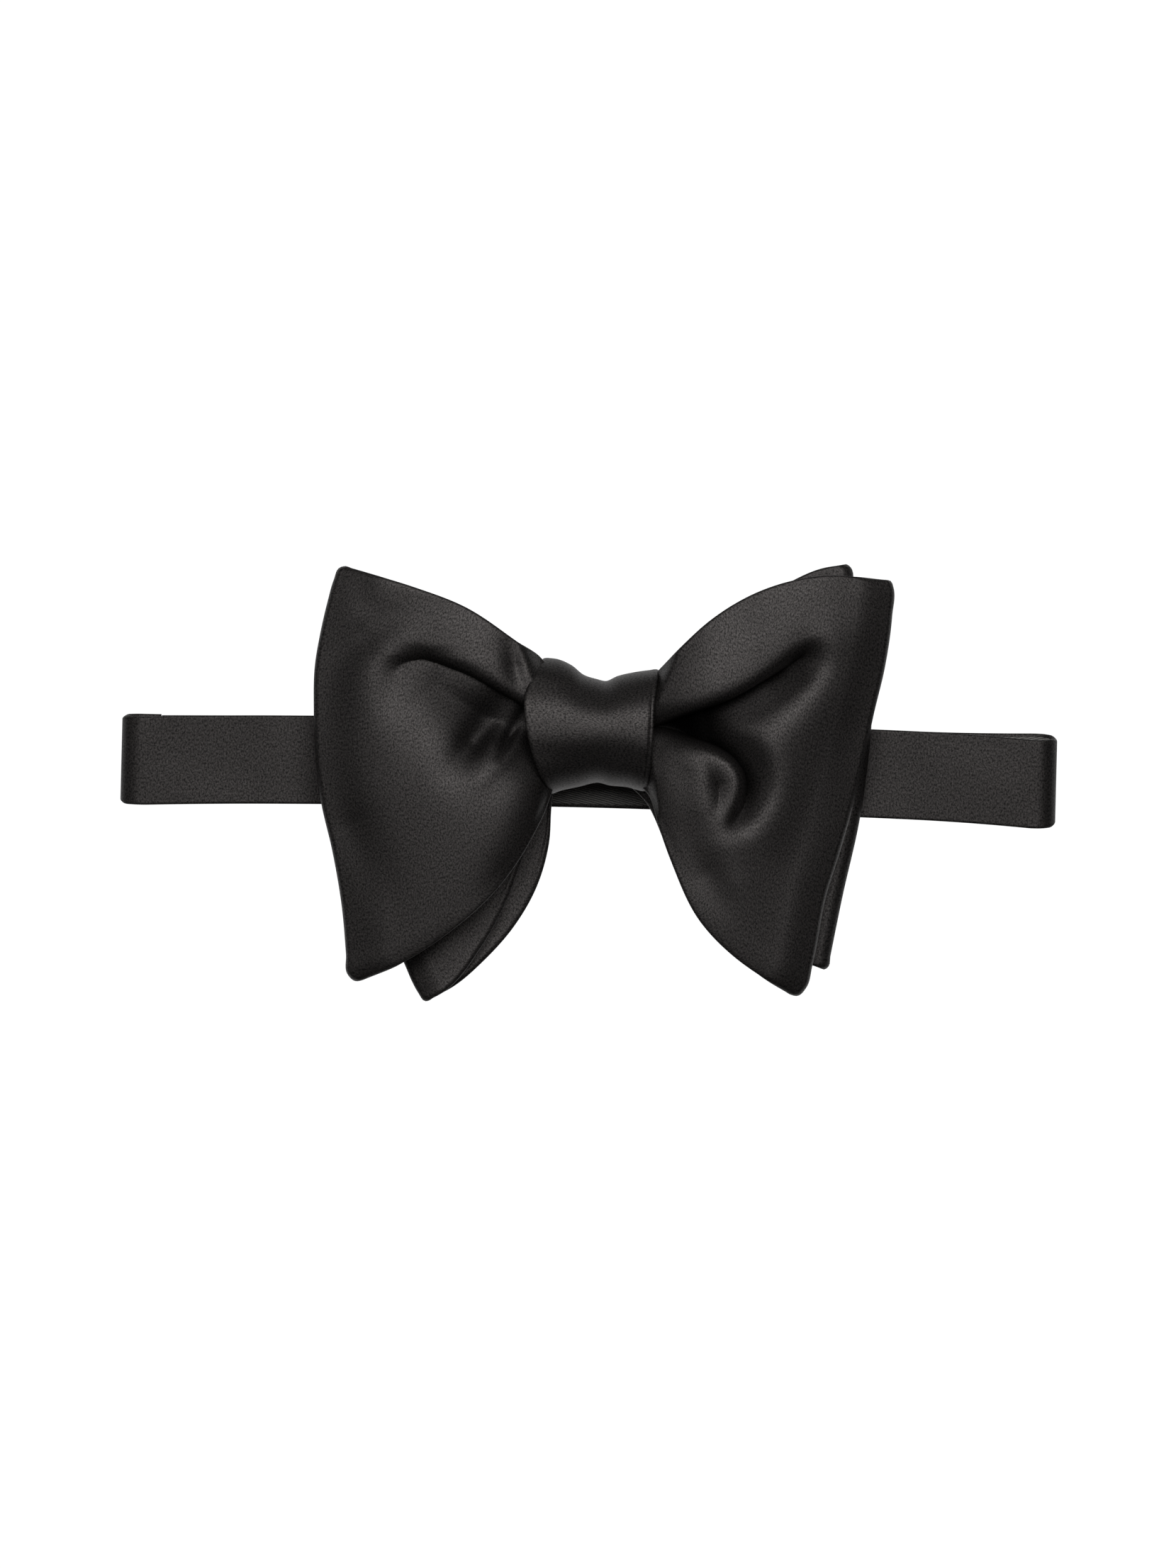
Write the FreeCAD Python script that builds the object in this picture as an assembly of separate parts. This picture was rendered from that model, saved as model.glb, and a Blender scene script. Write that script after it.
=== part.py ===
import FreeCAD, Part
import math
import os
from FreeCAD import Vector as V

# Oversized butterfly bow tie on an adjustable neckband, closed as a loop.
# Millimetres. Origin: centre of the flat back of the knot, which bears on the
# collar. +X is to the right of someone facing the bow, +Y runs from the bow
# towards the neck, +Z is up.

os.makedirs("parts", exist_ok=True)

# ---- neckband ---------------------------------------------------------------
BAND_H = 20.0          # finished height of the neckband
BAND_Z = -8.9          # height of its centre line below the knot's centre
SATIN_T = 0.30         # outer cloth, hems taken up
LINING_T = 0.30        # twill lining
BAND_T = 1.20          # whole sandwich: satin, interlining, lining
PLY_GAP = 0.03         # air between plies
FOLD_X = 101.15        # centre line of the turn at each side of the loop
INNER_R = 3.35         # inside radius of that turn
FRONT_Y = -1.30        # lining face of the front strand
GATHER_LOW = -9.0      # lower edge of the strand where the knot squeezes it
GATHER_X = 17.0        # half length of the squeezed stretch
GATHER_END = 34.0      # where the strand is back to its full height

# ---- bow loops --------------------------------------------------------------
LEAF_T = 1.20          # a leaf: satin, interlining, satin
FACE_T = 0.32          # one satin ply of a leaf
KNOT_END_X = 12.4      # the loops are gathered from here inwards
KNOT_OUT_X = 15.4      # side of the knot, where the loops flare

# ---- knot -------------------------------------------------------------------
KNOT_W = 29.6          # length of the wrap along X
KNOT_H = 27.0          # outside height
KNOT_FRONT = -22.0     # foremost point of the wrap
KNOT_SHOULDER = -13.5  # where the rounded front starts
KNOT_BACK_R = 4.3      # radius at the two back edges
WRAP_SATIN = 0.50
WRAP_INNER = 0.70
WRAP_GAP = 0.05

# ---- adjustable strap, slide, hook and eye ----------------------------------
SLIDE_X = -30.0        # slide at rest
HOOK_X = 24.0          # bar of the hook at rest
EYE_STRAP_X = 43.0     # free end of the right strap
SLIDE_L = 11.0         # slide, along the strap
METAL_H = 23.0         # height of slide, hook and eye
METAL_T = 0.80         # thickness of the stamped hook and eye
RAIL = 1.10            # width of the rails beside the strap

back_in = FRONT_Y + 2 * INNER_R
back_out = back_in + BAND_T
fold_y = FRONT_Y + INNER_R
z_low = BAND_Z - BAND_H / 2
z_high = BAND_Z + BAND_H / 2

# A band's plies, as distances from its lining face: name, from, to, edge inset.
PLIES = [
    ("lining", 0.0, LINING_T, 0.25),
    ("interlining", LINING_T + PLY_GAP, BAND_T - SATIN_T - PLY_GAP, 0.6),
    ("satin", BAND_T - SATIN_T, BAND_T, 0.0),
]

# A bow leaf's plies, as depths from its outside face.
LEAF_PLIES = [
    ("face", 0.0, FACE_T, 0.0),
    ("interlining", FACE_T + PLY_GAP, LEAF_T - FACE_T - PLY_GAP, 0.7),
    ("lining", LEAF_T - FACE_T, LEAF_T, 0.0),
]


def save(shape, name):
    solids = shape.Solids
    if len(solids) == 1:
        shape = solids[0]
    print(name, len(solids), shape.isValid(), round(shape.Volume, 1))
    shape.exportStep("parts/" + name + ".step")


def box(x0, x1, y0, y1, z0, z1):
    return Part.makeBox(x1 - x0, y1 - y0, z1 - z0, V(x0, y0, z0))


def line(a, b):
    return Part.LineSegment(a, b).toShape()


def arc(a, b, c):
    return Part.Arc(a, b, c).toShape()


def curve(points):
    spline = Part.BSplineCurve()
    spline.interpolate(points)
    return spline.toShape()


def upright(edges, y0, y1):
    """Prism between two Y values from an outline drawn in the XZ plane."""
    face = Part.Face(Part.Wire(Part.__sortEdges__(edges)))
    face.translate(V(0, y0, 0))
    return face.extrude(V(0, y1 - y0, 0))


# ---- front strand of the neckband -------------------------------------------

def front_strand(inset, y0, y1):
    low = z_low + inset
    pinch = GATHER_LOW + inset
    top = z_high - inset
    mid_x = (GATHER_X + GATHER_END) / 2
    mid_z = (low + pinch) / 2
    edges = [
        line(V(-FOLD_X, 0, top), V(FOLD_X, 0, top)),
        line(V(FOLD_X, 0, top), V(FOLD_X, 0, low)),
        line(V(FOLD_X, 0, low), V(GATHER_END, 0, low)),
        curve([V(GATHER_END, 0, low), V(mid_x, 0, mid_z), V(GATHER_X, 0, pinch)]),
        line(V(GATHER_X, 0, pinch), V(-GATHER_X, 0, pinch)),
        curve([V(-GATHER_X, 0, pinch), V(-mid_x, 0, mid_z), V(-GATHER_END, 0, low)]),
        line(V(-GATHER_END, 0, low), V(-FOLD_X, 0, low)),
        line(V(-FOLD_X, 0, low), V(-FOLD_X, 0, top)),
    ]
    return upright(edges, y0, y1)


for ply, near, far, inset in PLIES:
    save(front_strand(inset, FRONT_Y - far, FRONT_Y - near), "front_band_" + ply)

# ---- the two turns of the loop and the straps behind ------------------------

def turn(x, y, r0, r1, z0, z1, side):
    """Half a ring about a vertical axis, bulging towards side (-1 or +1) in X."""
    ring = Part.makeCylinder(r1, z1 - z0, V(x, y, z0))
    ring = ring.cut(Part.makeCylinder(r0, z1 - z0, V(x, y, z0)))
    near = min(x, x + side * 2 * r1)
    return ring.common(box(near, near + 2 * r1, y - 2 * r1, y + 2 * r1, z0, z1))


for ply, near, far, inset in PLIES:
    low = z_low + inset
    top = z_high - inset
    for side, word in ((-1, "left"), (1, "right")):
        bend = turn(side * FOLD_X, fold_y, INNER_R + near, INNER_R + far, low, top, side)
        save(bend, word + "_turn_" + ply)
    strap = box(-FOLD_X, HOOK_X, back_in + near, back_in + far, low, top)
    save(strap, "left_strap_" + ply)
    strap = box(EYE_STRAP_X, FOLD_X, back_in + near, back_in + far, low, top)
    save(strap, "right_strap_" + ply)

# ---- loops of the bow -------------------------------------------------------

def leaf_path(reach, y_mid, front, back, pinch, radius, depth):
    """Plan of one face of a loop: front leaf, fold, back leaf, as three edges."""
    tip = reach - radius
    r = radius - depth
    start = 12.0
    middle = 38.0
    a = V(start, y_mid - pinch + depth, 0)
    b = V(middle, y_mid - front + depth, 0)
    c = V(tip, y_mid - r, 0)
    d = V(tip + r, y_mid, 0)
    e = V(tip, y_mid + r, 0)
    f = V(middle, y_mid + back - depth, 0)
    g = V(start, y_mid + pinch - depth, 0)
    return [arc(a, b, c), arc(c, d, e), arc(e, f, g)], a, g


def loop_ply(plan, near, far, outline):
    reach, y_mid, front, back, pinch, radius = plan
    outer, a0, g0 = leaf_path(reach, y_mid, front, back, pinch, radius, near)
    inner, a1, g1 = leaf_path(reach, y_mid, front, back, pinch, radius, far)
    edges = outer + [line(g0, g1)] + inner + [line(a1, a0)]
    face = Part.Face(Part.Wire(Part.__sortEdges__(edges)))
    face.translate(V(0, 0, -75))
    return face.extrude(V(0, 0, 150)).common(outline)


def wing_outline(neck, top, bottom, inset):
    """Front view of a right-hand wing, open past the fold: curved long edges."""
    far = 90.0
    hi = neck - inset
    t0, t1, t2, t3 = [V(x, 0, z - inset) for x, z in top]
    b0, b1, b2, b3 = [V(x, 0, z + inset) for x, z in bottom]
    edges = [
        line(V(KNOT_END_X, 0, -hi), V(KNOT_END_X, 0, hi)),
        line(V(KNOT_END_X, 0, hi), V(KNOT_OUT_X, 0, hi)),
        line(V(KNOT_OUT_X, 0, hi), t0),
        arc(t0, t1, t2),
        line(t2, t3),
        line(t3, V(far, 0, t3.z)),
        line(V(far, 0, t3.z), V(far, 0, b3.z)),
        line(V(far, 0, b3.z), b3),
        line(b3, b2),
        arc(b2, b1, b0),
        line(b0, V(KNOT_OUT_X, 0, -hi)),
        line(V(KNOT_OUT_X, 0, -hi), V(KNOT_END_X, 0, -hi)),
    ]
    return upright(edges, -40.0, 10.0)


# Each wing, drawn as if on the right: plan (reach, middle Y, front belly, back
# belly, pinch, fold radius), half height in the knot, then the front view
# outwards from the knot: upper edge and its corner, lower edge and its corner.
WINGS = {
    "front_left": ((62.0, -13.7, 7.0, 3.4, 3.2, 2.6), 8.4,
                   [(15.4, 18.6), (34.3, 29.3), (56.4, 35.0), (60.0, 31.0)],
                   [(15.4, -29.0), (29.6, -45.7), (51.0, -57.2), (54.0, -54.0)]),
    "front_right": ((65.5, -13.7, 7.0, 3.4, 3.2, 2.6), 8.4,
                    [(15.4, 13.7), (34.0, 30.2), (64.0, 35.4), (67.5, 34.0)],
                    [(15.4, -20.0), (25.9, -42.7), (47.0, -58.6), (50.0, -56.0)]),
    "back_left": ((54.0, -6.3, 3.2, 3.1, 3.0, 2.4), 11.2,
                  [(15.4, 16.0), (33.0, 26.0), (50.0, 29.0), (56.0, 27.0)],
                  [(15.4, -32.0), (23.1, -49.4), (34.5, -62.0), (39.0, -58.0)]),
    "back_right": ((61.0, -6.3, 3.2, 3.1, 3.0, 2.4), 11.2,
                   [(15.4, 13.0), (33.0, 29.0), (55.0, 37.9), (58.4, 35.0)],
                   [(15.4, -20.0), (31.0, -41.0), (54.6, -52.8), (56.0, -51.0)]),
}

for name, (plan, neck, top, bottom) in WINGS.items():
    for ply, near, far, inset in LEAF_PLIES:
        wing = loop_ply(plan, near, far, wing_outline(neck, top, bottom, inset))
        if name.endswith("left"):
            wing = wing.mirror(V(0, 0, 0), V(1, 0, 0))
        save(wing, name + "_loop_" + ply)

# ---- gathered middle of each bow and the thread that binds it ---------------

def waist(y0, y1, half_z, groove):
    body = box(-12.2, 12.2, y0, y1, -half_z, half_z)
    body = body.makeFillet(1.2, body.Edges)
    band = box(-1.6, 1.6, y0 - 1, y1 + 1, -half_z - 1, half_z + 1)
    core = box(-2, 2, y0 + groove, y1 - groove, -half_z + groove, half_z - groove)
    core = core.makeFillet(0.8, [e for e in core.Edges if abs(e.tangentAt(0).x) > 0.9])
    return body.cut(band.cut(core))


def binding(y0, y1, half_z, groove):
    """Three turns of thread lying side by side in the waist's groove."""
    r = 0.35
    turns = []
    for x in (-0.8, 0.0, 0.8):
        ring = box(x - r, x + r, y0 + 0.1, y1 - 0.1, -half_z + 0.1, half_z - 0.1)
        hole = box(x - 1, x + 1, y0 + groove - 0.03, y1 - groove + 0.03,
                   -half_z + groove - 0.03, half_z - groove + 0.03)
        turns.append(ring.cut(hole))
    return Part.makeCompound(turns)


for word, y0, y1, half_z in (("front", -16.8, -10.3, 9.0), ("back", -9.4, -3.0, 11.0)):
    save(waist(y0, y1, half_z, 0.8), word + "_waist")
    save(binding(y0, y1, half_z, 0.8), word + "_binding_thread")

# ---- knot wrap --------------------------------------------------------------

def wrap_outline(depth):
    """Section of the wrap across the knot, a given depth inside its outside."""
    half = KNOT_H / 2 - depth
    r = KNOT_BACK_R - depth
    flat = KNOT_H / 2 - KNOT_BACK_R
    yb = -KNOT_BACK_R
    c = math.sqrt(0.5)
    front = KNOT_FRONT + depth
    shoulder = KNOT_SHOULDER
    edges = [
        line(V(0, -depth, -flat), V(0, -depth, flat)),
        arc(V(0, -depth, flat), V(0, yb + r * c, flat + r * c), V(0, yb, half)),
        line(V(0, yb, half), V(0, shoulder, half)),
        arc(V(0, shoulder, half), V(0, front, 0), V(0, shoulder, -half)),
        line(V(0, shoulder, -half), V(0, yb, -half)),
        arc(V(0, yb, -half), V(0, yb + r * c, -flat - r * c), V(0, -depth, -flat)),
    ]
    return Part.Face(Part.Wire(Part.__sortEdges__(edges)))


def wrap_ply(near, far, half_w):
    ring = wrap_outline(near).cut(wrap_outline(far))
    ring.translate(V(-half_w, 0, 0))
    return ring.extrude(V(2 * half_w, 0, 0))


save(wrap_ply(0.0, WRAP_SATIN, KNOT_W / 2), "knot_satin")
inner_from = WRAP_SATIN + WRAP_GAP
save(wrap_ply(inner_from, inner_from + WRAP_INNER, KNOT_W / 2 - 0.8), "knot_interlining")

# ---- strap end: round the hook's bar and back to the slide ------------------

turn_in = 1.1
hook_y = back_out + turn_in
return_in = hook_y + turn_in
return_out = return_in + BAND_T
save(turn(HOOK_X, hook_y, turn_in, turn_in + BAND_T, z_low, z_high, 1), "strap_hook_turn")

bar_y = return_in - 0.7
tail_out = back_out + 0.15
tail_in = tail_out + 0.7
tail_x = SLIDE_X + 8.0
edges = [
    line(V(HOOK_X, return_in, 0), V(HOOK_X, return_out, 0)),
    line(V(HOOK_X, return_out, 0), V(SLIDE_X, return_out, 0)),
    arc(V(SLIDE_X, return_out, 0), V(SLIDE_X - 1.65, (return_out + tail_out) / 2, 0),
        V(SLIDE_X, tail_out, 0)),
    line(V(SLIDE_X, tail_out, 0), V(tail_x, tail_out, 0)),
    line(V(tail_x, tail_out, 0), V(tail_x, tail_in, 0)),
    line(V(tail_x, tail_in, 0), V(SLIDE_X, tail_in, 0)),
    arc(V(SLIDE_X, tail_in, 0), V(SLIDE_X - 0.68, (return_in + tail_in) / 2, 0),
        V(SLIDE_X, return_in, 0)),
    line(V(SLIDE_X, return_in, 0), V(HOOK_X, return_in, 0)),
]
profile = Part.Face(Part.Wire(Part.__sortEdges__(edges)))
profile.translate(V(0, 0, z_low))
save(profile.extrude(V(0, 0, BAND_H)), "return_strap")


def tacks(xs, y, half_z):
    """Short raised rows of thread across a strap, each a plain low bar."""
    rows = []
    for x in xs:
        row = box(x - 0.35, x + 0.35, y, y + 0.25, BAND_Z - half_z, BAND_Z + half_z)
        rows.append(row)
    return Part.makeCompound(rows)


save(tacks((SLIDE_X + 3.0, SLIDE_X + 6.0), return_out, 8.0), "return_strap_tacks")

# ---- slide ------------------------------------------------------------------

half_m = METAL_H / 2
sx0 = SLIDE_X - SLIDE_L / 2
sx1 = SLIDE_X + SLIDE_L / 2
rail_y0 = back_in - 1.1
rail_y1 = bar_y + 0.6
rails = []
for side in (-1, 1):
    za = BAND_Z + side * half_m
    zb = BAND_Z + side * (half_m - RAIL)
    rails.append(box(sx0, sx1, rail_y0, rail_y1, min(za, zb), max(za, zb)))
low_bars = []
for x in (sx0, sx1 - 1.0):
    low_bars.append(box(x, x + 1.0, rail_y0, rail_y0 + 1.0, BAND_Z - half_m, BAND_Z + half_m))
frame = rails[0].fuse([rails[1]] + low_bars).removeSplitter()
corners = [e for e in frame.Edges
           if abs(e.tangentAt(e.FirstParameter).y) > 0.9
           and abs(abs(e.CenterOfMass.z - BAND_Z) - half_m) < 0.01]
save(frame.makeFillet(0.5, corners), "slide_frame")
rod = Part.makeCylinder(0.45, METAL_H - 2 * RAIL, V(SLIDE_X, bar_y, BAND_Z - half_m + RAIL))
save(rod, "slide_bar")

# ---- hook -------------------------------------------------------------------

hy0 = hook_y - METAL_T / 2
hy1 = hook_y + METAL_T / 2
hook_bar = Part.makeCylinder(0.75, METAL_H, V(HOOK_X, hook_y, BAND_Z - half_m))
plate = box(HOOK_X + 2.8, HOOK_X + 4.6, hy0, hy1, BAND_Z - half_m, BAND_Z + half_m)
tongue = box(HOOK_X + 4.4, HOOK_X + 12.0, hy0, hy1, BAND_Z - 3.2, BAND_Z + 3.2)
lip = box(HOOK_X + 11.2, HOOK_X + 12.0, hy0 - 0.45, hy0 + 0.2, BAND_Z - 2.8, BAND_Z + 2.8)
arms = []
for side in (-1, 1):
    za = BAND_Z + side * half_m
    zb = BAND_Z + side * (half_m - RAIL)
    arms.append(box(HOOK_X, HOOK_X + 4.6, hy0, hy1, min(za, zb), max(za, zb)))
save(hook_bar.fuse([plate, tongue, lip] + arms).removeSplitter(), "hook")

# ---- eye and the tape that ties it to the right strap -----------------------

eye_y = (back_in + back_out) / 2
ey0 = eye_y - METAL_T / 2
ey1 = eye_y + METAL_T / 2
eye = box(32.5, 39.0, ey0, ey1, BAND_Z - 5.5, BAND_Z + 5.5)
eye = eye.fuse(box(37.6, 42.3, ey0, ey1, BAND_Z - half_m, BAND_Z + half_m)).removeSplitter()
eye = eye.cut(box(34.3, 37.6, ey0 - 1, ey1 + 1, BAND_Z - 4.2, BAND_Z + 4.2))
eye = eye.cut(box(39.0, 40.8, ey0 - 1, ey1 + 1, BAND_Z - 10.3, BAND_Z + 10.3))
save(eye, "eye")

TAPE_T = 0.45
tape_r = 0.70
tape_x = 41.2
tape_end = EYE_STRAP_X + 10.0
tape = turn(tape_x, eye_y, tape_r, tape_r + TAPE_T, z_low + 0.3, z_high - 0.3, -1)
for sign in (-1, 1):
    ya = eye_y + sign * tape_r
    yb = eye_y + sign * (tape_r + TAPE_T)
    leg = box(tape_x, tape_end, min(ya, yb), max(ya, yb), z_low + 0.3, z_high - 0.3)
    tape = tape.fuse(leg)
save(tape.removeSplitter(), "eye_tape")
tape_out = eye_y + tape_r + TAPE_T
save(tacks((EYE_STRAP_X + 2.0, EYE_STRAP_X + 8.0), tape_out, 8.0), "eye_tape_tacks")
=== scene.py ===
"""Oversized black satin butterfly bow tie, held upright by its knot.

Shapes are worked out in millimetres and handed to Blender in metres.
"""
import math

import bpy
import numpy as np
from mathutils import Matrix, Vector


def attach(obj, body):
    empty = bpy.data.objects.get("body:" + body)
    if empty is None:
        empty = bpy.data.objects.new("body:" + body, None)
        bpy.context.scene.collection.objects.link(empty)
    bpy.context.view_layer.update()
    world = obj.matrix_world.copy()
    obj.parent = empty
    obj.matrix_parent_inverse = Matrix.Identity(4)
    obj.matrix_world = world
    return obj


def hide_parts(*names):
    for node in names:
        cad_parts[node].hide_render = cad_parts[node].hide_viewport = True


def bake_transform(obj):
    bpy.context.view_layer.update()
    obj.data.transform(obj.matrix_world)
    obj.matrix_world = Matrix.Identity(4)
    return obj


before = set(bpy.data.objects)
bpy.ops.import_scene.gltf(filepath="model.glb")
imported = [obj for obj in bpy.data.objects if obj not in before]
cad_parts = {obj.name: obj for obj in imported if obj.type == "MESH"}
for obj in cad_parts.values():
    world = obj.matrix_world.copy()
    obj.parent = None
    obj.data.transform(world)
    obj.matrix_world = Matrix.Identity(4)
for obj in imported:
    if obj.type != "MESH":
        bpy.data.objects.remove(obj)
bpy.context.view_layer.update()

MM = 0.001


# ---- curves and grids --------------------------------------------------------

FINE_STEPS = 800
FOLD_STEPS = 60


def smooth(points, n, spread=None):
    """n points along a smooth curve through a few points, evenly spaced or spread as given."""
    p = np.array(points, float)
    gap = np.linalg.norm(np.diff(p, axis=0), axis=1)
    t = np.concatenate([[0.0], np.cumsum(gap)])
    m = np.gradient(p, t, axis=0) if len(p) > 2 else np.repeat((p[1:] - p[:1]) / t[1], 2, 0)
    s = np.linspace(0, t[-1], FINE_STEPS)
    i = np.clip(np.searchsorted(t, s, side="right") - 1, 0, len(p) - 2)
    h = gap[i]
    x = ((s - t[i]) / h)[:, None]
    h = h[:, None]
    fine = ((2 * x**3 - 3 * x**2 + 1) * p[i] + (x**3 - 2 * x**2 + x) * h * m[i]
            + (3 * x**2 - 2 * x**3) * p[i + 1] + (x**3 - x**2) * h * m[i + 1])
    along = np.concatenate([[0.0], np.cumsum(np.linalg.norm(np.diff(fine, axis=0), axis=1))])
    want = np.linspace(0, 1, n) if spread is None else np.asarray(spread)
    want = want * along[-1]
    return np.stack([np.interp(want, along, fine[:, k]) for k in range(p.shape[1])], 1)


def patch(bottom, top, inner, outer, u, v):
    """Surface spanning four edges: bottom and top run outwards, inner and outer run up."""
    b, t = smooth(bottom, 0, u), smooth(top, 0, u)
    k, o = smooth(inner, 0, v), smooth(outer, 0, v)
    uu, vv = u[:, None, None], v[None, :, None]
    ruled = (1 - vv) * b[:, None] + vv * t[:, None] + (1 - uu) * k[None] + uu * o[None]
    corners = ((1 - uu) * (1 - vv) * k[0] + (1 - uu) * vv * k[-1]
               + uu * (1 - vv) * o[0] + uu * vv * o[-1])
    return ruled - corners


def edge_rows(n, width, rim=1.2):
    """0 to 1 with extra rows inside each edge, where the cloth turns over."""
    near = np.array([0.0, 0.03, 0.12, 0.28, 0.5, 0.75, 1.0]) * rim / width
    middle = np.linspace(near[-1], 1 - near[-1], n)[1:-1]
    return np.concatenate([near, middle, 1 - near[::-1]])


def along_path(path, ends, x, z):
    """For each stretch of a smooth path: its direction, the offset of each grid point, and the strength."""
    line = smooth(path, FOLD_STEPS)
    keys = np.array(ends, float)
    for k in range(len(line) - 1):
        a, d = line[k], line[k + 1] - line[k]
        t = np.clip(((x - a[0]) * d[0] + (z - a[1]) * d[1]) / (d @ d), 0, 1)
        strength = np.interp((k + t) / (len(line) - 1), keys[:, 0], keys[:, 1])
        yield d, x - a[0] - t * d[0], z - a[1] - t * d[1], strength


def fold(height, x, z, path, rise, left, right, ends=((0, 1), (1, 1)), power=2.0):
    """Adds a ridge (rise above 0) or a valley along a path, with its own width on each side."""
    most = np.zeros(x.shape)
    for d, ox, oz, strength in along_path(path, ends, x, z):
        r = np.hypot(ox, oz)
        side = (d[0] * oz - d[1] * ox) / np.maximum(r * math.hypot(*d), 1e-9)
        width = right + (left - right) * (0.5 + 0.5 * side)
        most = np.maximum(most, strength * np.exp(-((r / width) ** power)))
    height += rise * most


def tuck(x, z, path, reach, ends):
    """Slides the cloth beside a path sideways, under the lip of a crease: left of it if reach is above 0."""
    beside, width = 1.3, 2.0
    most = np.zeros(x.shape)
    move = np.zeros(x.shape + (2,))
    for d, ox, oz, strength in along_path(path, ends, x, z):
        d_len = math.hypot(*d)
        across = (d[0] * oz - d[1] * ox) / d_len * math.copysign(1, reach)
        apart = np.hypot(ox, oz)
        off = np.sqrt(np.maximum(apart**2 - across**2, 0))
        f = strength * np.exp(-(((across + beside) / width) ** 2) - (off / width) ** 2)
        hit = f > most
        most = np.where(hit, f, most)
        move[hit] = (-d[1] / d_len, d[0] / d_len)
    x += reach * most * move[..., 0]
    z += reach * most * move[..., 1]


# ---- objects -----------------------------------------------------------------

def add_object(name, data):
    ob = bpy.data.objects.new(name, data)
    bpy.context.scene.collection.objects.link(ob)
    return ob


def add_mesh(name, verts, faces, uvs, material):
    """Smooth mesh in one material. Its UV map is the cloth's own layout, in metres."""
    me = bpy.data.meshes.new(name)
    me.from_pydata((verts * MM).tolist(), [], faces)
    layer = me.uv_layers.new(name="UVMap")
    index = np.empty(len(me.loops), int)
    me.loops.foreach_get("vertex_index", index)
    layer.data.foreach_set("uv", (uvs[index] * MM).ravel())
    me.materials.append(material)
    me.polygons.foreach_set("use_smooth", np.full(len(me.polygons), True))
    me.update()
    return add_object(name, me)


def add_thread(name, lines, radius, roundness):
    """A round thread along each line of points."""
    cu = bpy.data.curves.new(name, "CURVE")
    cu.dimensions = "3D"
    cu.bevel_depth = radius * MM
    cu.bevel_resolution = roundness
    for line in lines:
        sp = cu.splines.new("POLY")
        sp.points.add(len(line) - 1)
        for point, (x, y, z) in zip(sp.points, line):
            point.co = (x * MM, y * MM, z * MM, 1)
    cu.materials.append(THREAD)
    return add_object(name, cu)


def finish_piece(ob, body, nodes):
    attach(ob, body)
    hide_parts(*nodes)


def normals(grid):
    du = np.gradient(grid, axis=0)
    dv = np.gradient(grid, axis=1)
    n = np.cross(du, dv)
    return n / np.maximum(np.linalg.norm(n, axis=2, keepdims=True), 1e-9)


def quads(a, flip):
    i = a[:-1, :-1].ravel(), a[1:, :-1].ravel(), a[1:, 1:].ravel(), a[:-1, 1:].ravel()
    return np.stack(i[::-1] if flip else i, 1)


def cloth(name, grid, material, half, rim, swell=0.0, shade=None):
    """Closed sheet about a grid of points, with both long edges rolled over like a turned seam.

    half is half its thickness, rim the width of the rolled edge, swell the height of the turned seam inside
    and shade the painted shade at each point, from the depth of its fold, which the satin darkens with.
    """
    seam_in, seam_width = 1.1, 0.55
    nu, nv, _ = grid.shape
    n = normals(grid)
    lv = np.concatenate([np.zeros((nu, 1)),
                         np.cumsum(np.linalg.norm(np.diff(grid, axis=1), axis=2), axis=1)], 1)
    lu = np.concatenate([np.zeros((1, nv)),
                         np.cumsum(np.linalg.norm(np.diff(grid, axis=0), axis=2), axis=0)], 0)
    edge = np.minimum(lv, lv[:, -1:] - lv)
    x = np.clip(edge / rim, 0, 1)
    h = half * np.sqrt(np.maximum(1 - (1 - x) ** 2, 0))
    h += swell * np.exp(-(((edge - seam_in) / seam_width) ** 2)) * x
    front = grid + n * h[..., None]
    back = grid - n * h[..., None]
    index_f = np.arange(nu * nv).reshape(nu, nv)
    index_b = index_f.copy()
    index_b[:, 1:-1] = nu * nv + np.arange(nu * (nv - 2)).reshape(nu, nv - 2)
    verts = np.concatenate([front.reshape(-1, 3), back[:, 1:-1].reshape(-1, 3)])
    uv = np.stack([np.broadcast_to(lu.mean(1, keepdims=True), (nu, nv)), lv - lv[:, -1:] / 2], 2)
    uvs = np.concatenate([uv.reshape(-1, 2), uv[:, 1:-1].reshape(-1, 2)])
    faces = [quads(index_f, False), quads(index_b, True)]
    for row, flip in ((0, True), (-1, False)):
        end = quads(np.stack([index_f[row], index_b[row]]), flip)
        faces += [end[1:-1], end[:1], end[-1:]]
    faces = np.concatenate(faces)
    full = faces[[len(set(f)) == 4 for f in faces]]
    three = [list(dict.fromkeys(f)) for f in faces if len(set(f)) == 3]
    ob = add_mesh(name, verts, full.tolist() + three, uvs, material)
    if shade is not None:
        # painted shade, kept on the mesh for the satin to darken its colour and gloss with
        painted_fold_shade = ob.data.attributes.new("painted_fold_shade", "FLOAT", "POINT")
        painted_fold_shade.data.foreach_set("value", np.concatenate([shade.ravel(), shade[:, 1:-1].ravel()]))
    return ob


# ---- materials ---------------------------------------------------------------

def material(name):
    m = bpy.data.materials.new(name)
    m.use_nodes = True
    nodes = m.node_tree.nodes
    return m, nodes, m.node_tree.links, nodes["Principled BSDF"]


def node(nodes, kind, **values):
    n = nodes.new(kind)
    for key, value in values.items():
        if key in n.inputs:
            n.inputs[key].default_value = value
        else:
            setattr(n, key, value)
    return n


def ramp(nodes, low, high, a, b):
    r = nodes.new("ShaderNodeValToRGB")
    r.color_ramp.elements[0].position, r.color_ramp.elements[1].position = a, b
    r.color_ramp.elements[0].color = (*low, 1)
    r.color_ramp.elements[1].color = (*high, 1)
    return r


def map_range(nodes, source, result, **values):
    n = node(nodes, "ShaderNodeMapRange", **values)
    for key, value in zip(("From Min", "From Max", "To Min", "To Max"), (*source, *result)):
        n.inputs[key].default_value = value
    return n


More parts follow.
